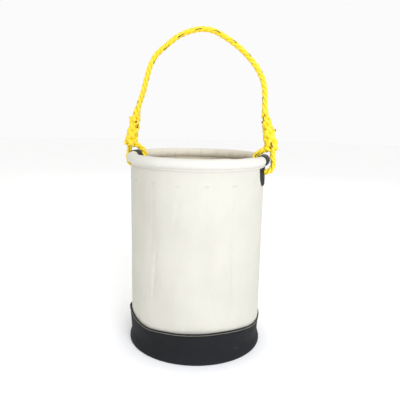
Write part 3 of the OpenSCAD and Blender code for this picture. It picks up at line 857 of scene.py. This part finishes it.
# A shield with square shoulders and a blunt tip, as (across, up) from its top edge.
def patchOutline(width, height, steps=400):
    corners = np.array(patch["outline"])
    corners = np.vstack([corners, corners[-2:0:-1] * np.array([-1, 1]), corners[:1]])
    corners = corners * np.array([width, height])
    run = np.concatenate([[0], np.cumsum(np.linalg.norm(np.diff(corners, axis=0), axis=1))])
    places = np.linspace(0, run[-1], steps)
    return np.stack([np.interp(places, run, corners[:, k]) for k in (0, 1)], 1)


# Rows from the rope hole out to the shield's outline, as (across, up) on the flat leather.
def patchGrid(r, s, height, count, rings):
    outline = patchOutline(s["width"], height) + np.array([0, s["top"] - r["holeZ"]])
    bearing = np.arctan2(outline[:, 1], outline[:, 0])
    length = np.hypot(outline[:, 0], outline[:, 1])
    order = np.argsort(bearing)
    rays = -math.pi + ringAngles(count)
    far = np.interp(rays, bearing[order], length[order], period=2 * math.pi)
    t = np.linspace(0, 1, rings)[:, None] ** 0.9
    reach = s["hole"] + (far[None] - s["hole"]) * t
    return reach * np.cos(rays)[None], reach * np.sin(rays)[None], (far[None] - reach), t


def buildPatch(side, inside, b, r, s):
    name = f"{'inner' if inside else 'outer'}Patch_{side}"
    across, up, fromEdge, t = patchGrid(r, s, s["innerHeight"] if inside else s["height"], 120, 18)
    ridges = s["ridge"] * np.sin(across * 2 * math.pi / s["ridgePitch"] + 0.8 * np.sin(up * 300)) \
        * step(fromEdge, 0.0, 0.003) * step(t, 0.1, 0.45)
    ridges = ridges - 0.0003 * np.exp(-((fromEdge - 0.0030) / 0.0007) ** 2) * (t > 0.3)
    worn = 0.8 * np.exp(-fromEdge / 0.0009) + 0.5 * (1 - step(t, 0, 0.08))
    z = r["holeZ"] + up
    if inside:
        reach = b["wallR"] - b["wallT"] - 0.0002 - s["thickness"] - 0.5 * ridges
        points = polar(reach, across / reach, z)[:, ::-1]
        cloth = np.stack([across, up], -1)[:, ::-1]
        worn = worn[:, ::-1]
    else:
        reach = b["wallR"] + 0.0001 + s["thickness"] + ridges
        points = polar(reach, across / reach, z)
        cloth = np.stack([across, up], -1)
    points = turned(points, side)[::-1]
    cloth = np.concatenate([cloth, cloth[:, :1]], 1)[::-1]
    piece = addPiece(name, gridMesh(name, points, cloth, True, worn[::-1]), "patchLeather")
    thicken(piece, s["thickness"], 0.0004)
    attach(piece, "bucket")
    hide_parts(f"{'inner' if inside else 'outer'}_patch_{side}")


pocket = {"panels": 8, "flat": 0.0035, "bulge": 0.016, "thickness": 0.0012, "foot": bucket["pocketFoot"],
          "mouth": bucket["pocketTop"], "hem": 0.010, "gap": 0.0016, "against": 0.151}


# The wall's inner face, where the pockets are sewn down.
def pocketWall(around, z):
    return wallRadius(around, z) - bucket["wallT"] - 0.0003


# Wall side of the pocket cloth at angles around, for a panel that spans two pockets.
def pocketFace(panel, around, z, s):
    wide = math.pi / s["panels"]
    local = np.mod(around, wide) - wide / 2
    number = np.floor(around / wide)
    out = s["against"]
    half = wide / 2 - s["flat"] / out
    t = (z - s["foot"]) / (s["mouth"] - s["foot"])
    slack = 0.93 + 0.1 * np.sin(number * 2.4 + 1) * (1 - t) + 0.12 * step(t, 0.75, 1.0)
    shut = step(t, -0.01, 0.055) ** 0.5 * (0.82 + 0.18 * step(t, 0.02, 0.25))
    bulge = s["bulge"] * slack * shut
    sx, sy, low = out * math.cos(half), out * math.sin(half), out - bulge
    centre = (sx * sx + sy * sy - low * low) / (2 * (sx - low))
    radius = centre - low
    inside = radius ** 2 - (centre * np.sin(local)) ** 2
    arc = np.where(inside > 0, centre * np.cos(local) - np.sqrt(np.clip(inside, 0, None)), out)
    sewn = pocketWall(around, z)
    loose = np.clip((sewn - arc - s["thickness"]) / 0.004, 0, 1)
    wrinkle = 0.0007 * ripple(around, z, 61 + panel, 14, (24, 80), (1, 9)) * loose \
        * (0.5 + 0.8 * (1 - step(t, 0, 0.3)))
    fold = 0.0016 * np.sin(local * 2 * math.pi / 0.06 + number) * (1 - step(t, 0.0, 0.22)) * loose
    face = np.minimum(sewn, arc + s["thickness"] + wrinkle + fold)
    hem = 0.0009 * step(z, s["mouth"] - s["hem"] - 0.001, s["mouth"] - s["hem"] + 0.0006)
    return face - hem, loose


# Height of the pockets' mouths: each dips a little in its middle.
def pocketLip(around, s):
    wide = math.pi / s["panels"]
    local = (np.mod(around, wide) - wide / 2) / (wide / 2)
    return s["mouth"] - 0.0032 * (1 - local ** 2) + 0.0006 * ripple(around, 0, 62, 6, (5, 40), (0, 0))


def buildPockets(s):
    for number in range(s["panels"]):
        first = number * 2 * math.pi / s["panels"] + s["gap"]
        around = np.linspace(first, first + 2 * math.pi / s["panels"] - 2 * s["gap"], 105)
        t = np.concatenate([[0, 0.0015, 0.004, 0.008, 0.014, 0.022, 0.032], np.linspace(0.045, 0.94, 54),
                            np.linspace(0.947, 1, 16)])
        a, tt = np.meshgrid(around, t)
        z = s["foot"] + tt * (pocketLip(a, s) - s["foot"])
        face, loose = pocketFace(number, a, z, s)
        sewn = pocketWall(a, z)
        shut = np.clip(tt / 0.022, 0, 1)
        face = sewn + (face - sewn) * np.sqrt(np.clip(1 - (1 - shut) ** 2, 0, 1))
        points = polar(face, a, z)
        middle = points[30]
        run = np.concatenate([[0], np.cumsum(np.linalg.norm(np.diff(middle, axis=0), axis=1))])
        cloth = np.stack(np.meshgrid(run + number, t * (s["mouth"] - s["foot"])), -1)
        # Painted shade: the pocket cloth is darker where it lies flat against the wall, along its hem and
        # towards its foot.
        worn = 0.55 * (1 - loose) + 0.6 * np.exp(-np.abs(z - s["mouth"] + s["hem"]) / 0.0012) \
            + 0.4 * (1 - step(tt, 0, 0.12))
        name = f"pocketPanel_{number + 1}"
        piece = addPiece(name, gridMesh(name, points, cloth, False, np.clip(worn, 0, 1)), "pocketCanvas")
        thicken(piece, s["thickness"])
        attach(piece, "bucket")
        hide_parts(f"pocket_panel_{number + 1}")


seam = {"width": 0.026, "thickness": 0.0013, "at": math.radians(90)}


# The wall's lapped edge at the back, a strip that stands one ply proud.
def buildSeam(b, s):
    half = s["width"] / 2 / b["wallR"]
    u = np.linspace(-1, 1, 25)
    t = np.linspace(0, 1, 130)
    uu, tt = np.meshgrid(u, t)
    a = s["at"] + uu * half
    z = bootTop(a) + 0.0006 + tt * (b["skirtZ"] - 0.0004 - bootTop(a) - 0.0006)
    edge = 0.0003 * ripple(a, z, 71, 9, (1, 30), (2, 26))
    lines = 0.00028 * (np.exp(-((np.abs(uu) - 0.8) / 0.05) ** 2) + np.exp(-((np.abs(uu) - 0.5) / 0.05) ** 2))
    reach = wallRadius(a, z) + s["thickness"] + 0.6 * edge - lines
    cloth = np.stack([uu * s["width"] / 2 + 2, tt * 0.35], -1)
    # Painted shade along the strip's lapped edges and in its stitch grooves.
    worn = 0.8 * np.exp(-(1 - np.abs(uu)) / 0.04) + 0.5 * lines / 0.00028
    mesh = gridMesh("sideSeam", polar(reach, a, z), cloth, False, np.clip(worn, 0, 1))
    piece = addPiece("sideSeam", mesh, "wallCanvas")
    thicken(piece, s["thickness"] + 0.0003, 0.0003)
    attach(piece, "bucket")


buildWall(bucket)
buildBoot(bucket, boot)
buildSleeve(bucket)
buildBottom(bucket)
buildSeam(bucket, seam)
print("wall, boot, rim and bottom made")
buildPockets(pocket)
print("pockets made")
for side in ("right", "left"):
    buildGuard(side, bucket, guard)
    buildPatch(side, False, bucket, rope, patch)
    buildPatch(side, True, bucket, rope, patch)
print("guards and patches made")

# each run of stitches, in metres: spacing, stitch length, thread thickness, seed, finish and slot
sewing = {"rimStitches": (0.0042, 0.0033, 0.0007, 1, "whiteThread", "rim_canvas"),
          "bootStitches": (0.0046, 0.0036, 0.0009, 2, "lightThread", "boot_vinyl"),
          "pocketSeamsOutside": (0.0042, 0.0032, 0.0004, 3, "whiteThread", "canvas"),
          "pocketSeamsInside": (0.0042, 0.0032, 0.0006, 4, "whiteThread", "canvas"),
          "barTacks": (0.0011, 0.0016, 0.00045, 5, "whiteThread", "canvas"),
          "pocketHems": (0.0038, 0.0029, 0.0006, 6, "whiteThread", "canvas"),
          "guardStitches": (0.0034, 0.0026, 0.0007, 7, "blackThread", "guard_leather"),
          "seamStitches": (0.0042, 0.0033, 0.0007, 8, "whiteThread", "canvas")}


# Geometry nodes that lay one thread stitch after another along every line of a mesh.
def stitchTree():
    tree = bpy.data.node_groups.new("stitchRun", "GeometryNodeTree")
    for name, kind in (("Lines", "Geometry"), ("Pitch", "Float"), ("Stitch Length", "Float"),
                       ("Thread", "Float"), ("Seed", "Int"), ("Material", "Material")):
        tree.interface.new_socket(name, in_out="INPUT", socket_type="NodeSocket" + kind)
    tree.interface.new_socket("Stitches", in_out="OUTPUT", socket_type="NodeSocketGeometry")
    add, link = tree.nodes.new, tree.links.new
    given, out = add("NodeGroupInput"), add("NodeGroupOutput")
    curve, spaced = add("GeometryNodeMeshToCurve"), add("GeometryNodeResampleCurve")
    spaced.mode = "LENGTH"
    link(given.outputs["Lines"], curve.inputs[0])
    link(curve.outputs[0], spaced.inputs["Curve"])
    link(given.outputs["Pitch"], spaced.inputs["Length"])
    bead = add("GeometryNodeMeshUVSphere")
    bead.inputs["Segments"].default_value, bead.inputs["Rings"].default_value = 6, 4
    bead.inputs["Radius"].default_value = 0.5
    tangent, aim = add("GeometryNodeInputTangent"), add("FunctionNodeAlignRotationToVector")
    aim.axis = "X"
    link(tangent.outputs[0], aim.inputs["Vector"])
    size, vary = add("ShaderNodeCombineXYZ"), add("FunctionNodeRandomValue")
    vary.data_type = "FLOAT"
    vary.inputs[2].default_value, vary.inputs[3].default_value = 0.86, 1.1
    link(given.outputs["Seed"], vary.inputs["Seed"])
    longer = add("ShaderNodeMath")
    longer.operation = "MULTIPLY"
    link(given.outputs["Stitch Length"], longer.inputs[0])
    link(vary.outputs[1], longer.inputs[1])
    link(longer.outputs[0], size.inputs[0])
    link(given.outputs["Thread"], size.inputs[1])
    link(given.outputs["Thread"], size.inputs[2])
    place, real = add("GeometryNodeInstanceOnPoints"), add("GeometryNodeRealizeInstances")
    link(spaced.outputs[0], place.inputs["Points"])
    link(bead.outputs["Mesh"], place.inputs["Instance"])
    link(aim.outputs[0], place.inputs["Rotation"])
    link(size.outputs[0], place.inputs["Scale"])
    link(place.outputs[0], real.inputs[0])
    smooth, paint = add("GeometryNodeSetShadeSmooth"), add("GeometryNodeSetMaterial")
    link(real.outputs[0], smooth.inputs[0])
    link(smooth.outputs[0], paint.inputs[0])
    link(given.outputs["Material"], paint.inputs["Material"])
    link(paint.outputs[0], out.inputs[0])
    return tree


# lines are open rows of points; every row becomes a run of stitches.
def sewLines(name, lines, tree):
    pitch, length, thread, seed, finish, slot = sewing[name]
    points, edges, start = [], [], 0
    for line in lines:
        points += np.asarray(line).tolist()
        edges += [(start + k, start + k + 1) for k in range(len(line) - 1)]
        start += len(line)
    mesh = bpy.data.meshes.new(name)
    mesh.from_pydata(points, edges, [])
    piece = bpy.data.objects.new(name, mesh)
    scene.collection.objects.link(piece)
    run = piece.modifiers.new("stitches", "NODES")
    run.node_group = tree
    values = {"Pitch": pitch, "Stitch Length": length, "Thread": thread, "Seed": seed,
              "Material": finishes[finish]}
    for item in tree.interface.items_tree:
        if item.in_out == "INPUT" and item.name in values:
            run[item.identifier] = values[item.name]
    settle(piece)
    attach(piece, "bucket")


# An upright row of points at one angle.
def uprightLine(radius, angle, z):
    return polar(radius(angle + 0 * z, z), angle + 0 * z, z)


def sewRimAndBoot(b, tree):
    a = np.linspace(0, 2 * math.pi, 400)
    top = b["skirtZ"] + 0.0021
    sewLines("rimStitches", [polar(b["rimR"] + side * 0.00235, a, top) for side in (1, -1)], tree)
    a = np.linspace(0, 2 * math.pi, 700)
    z = bootTop(a) - 0.0046
    sewLines("bootStitches", [polar(bootRadius(a, z) + 0.00045, a, z)], tree)


# The upright seams on both faces of the wall, a tack at each one's top, and two rows along each mouth.
def sewPockets(b, p, tree):
    seams = [k * 2 * math.pi / b["pockets"] for k in range(b["pockets"])]
    z = np.linspace(p["foot"] + 0.003, p["mouth"] - 0.001, 90)
    outside = [uprightLine(wallRadius, a, z) + polar(0.00005, a, 0) for a in seams]
    sewLines("pocketSeamsOutside", outside, tree)
    inside = [uprightLine(pocketWall, a + off / 0.15, z) - polar(p["thickness"] + 0.00015, a + off / 0.15, 0)
              for a in seams for off in (-0.0022, 0.0022)]
    sewLines("pocketSeamsInside", inside, tree)
    tacks = []
    for a in seams:
        for level in np.linspace(0, 0.0028, 5):
            u = a + np.linspace(-0.0042, 0.0042, 8) / b["wallR"]
            z = p["mouth"] - 0.0008 + level + 0 * u
            tacks.append(polar(wallRadius(u, z) + 0.0001, u, z))
            lip = pocketLip(u, p) - 0.004 - level
            tacks.append(polar(pocketFace(0, u, lip, p)[0] - p["thickness"] - 0.0001, u, lip))
    sewLines("barTacks", tacks, tree)
    hems = []
    for number in range(p["panels"]):
        first = number * 2 * math.pi / p["panels"] + 0.004
        a = np.linspace(first, first + 2 * math.pi / p["panels"] - 0.008, 160)
        for down in (0.0024, 0.0076):
            lip = pocketLip(a, p) - down
            hems.append(polar(pocketFace(number, a, lip, p)[0] - p["thickness"] - 0.0001, a, lip))
    sewLines("pocketHems", hems, tree)


def sewGuards(b, g, s, tree):
    rows = []
    for side in ("right", "left"):
        for share in (-0.84, 0.84):
            t = np.linspace(math.radians(g["from"] + 8), math.radians(g["to"] - 8), 80)
            reach = g["radius"] + 0.0001
            a = share * g["width"] / 2 / b["rimR"] + 0 * t
            rows.append(turned(polar(b["rimR"] + reach * np.cos(t), a, b["rimZ"] + reach * np.sin(t)), side))
        for height, reach in ((s["height"], b["wallR"] + 0.0003 + s["thickness"]),
                              (s["innerHeight"], b["wallR"] - b["wallT"] - 0.0004 - s["thickness"])):
            line = patchOutline(s["width"] - 0.006, height - 0.006, 160)
            rows.append(turned(polar(reach, line[:, 0] / reach, s["top"] - 0.003 + line[:, 1]), side))
    sewLines("guardStitches", rows, tree)


def sewSeam(b, s, tree):
    rows = []
    for share in (-0.8, -0.5, 0.5, 0.8):
        a = s["at"] + share * s["width"] / 2 / b["wallR"]
        z = np.linspace(float(bootTop(np.array(a))) + 0.002, b["skirtZ"] - 0.002, 120)
        rows.append(uprightLine(wallRadius, a, z) + polar(s["thickness"] + 0.0001, a, 0))
    sewLines("seamStitches", rows, tree)


stitches = stitchTree()
sewRimAndBoot(bucket, stitches)
sewPockets(bucket, pocket, stitches)
sewGuards(bucket, guard, patch, stitches)
sewSeam(bucket, seam, stitches)
print("stitches laid")

# the CAD pieces that stay, with their finishes
kept = {"eyelet_right": "darkBrass", "eyelet_left": "darkBrass", "eyelet_washer_right": "darkBrass",
        "eyelet_washer_left": "darkBrass", "boot_bottom": "bootVinyl", "base_board": "fibreboard",
        "rim_hoop": "hoopPlastic", "hoop_plug": "hoopPlastic"}
for node, finish in kept.items():
    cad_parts[node].data.materials.clear()
    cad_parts[node].data.materials.append(finishes[finish])


# A round floor, a hair below the base.
def buildFloor(size, count):
    rings = np.linspace(0, size, 5)[1:]
    a, r = np.meshgrid(ringAngles(count), rings)
    mesh = gridMesh("studioFloor", polar(r, a, -0.0002)[::-1], np.zeros((len(rings), count + 1, 2)), True)
    floor = addPiece("studioFloor", mesh, "studioFloor")
    fillMiddle(floor, (len(rings) - 1) * count, count)


buildFloor(9, 48)
print("floor laid")
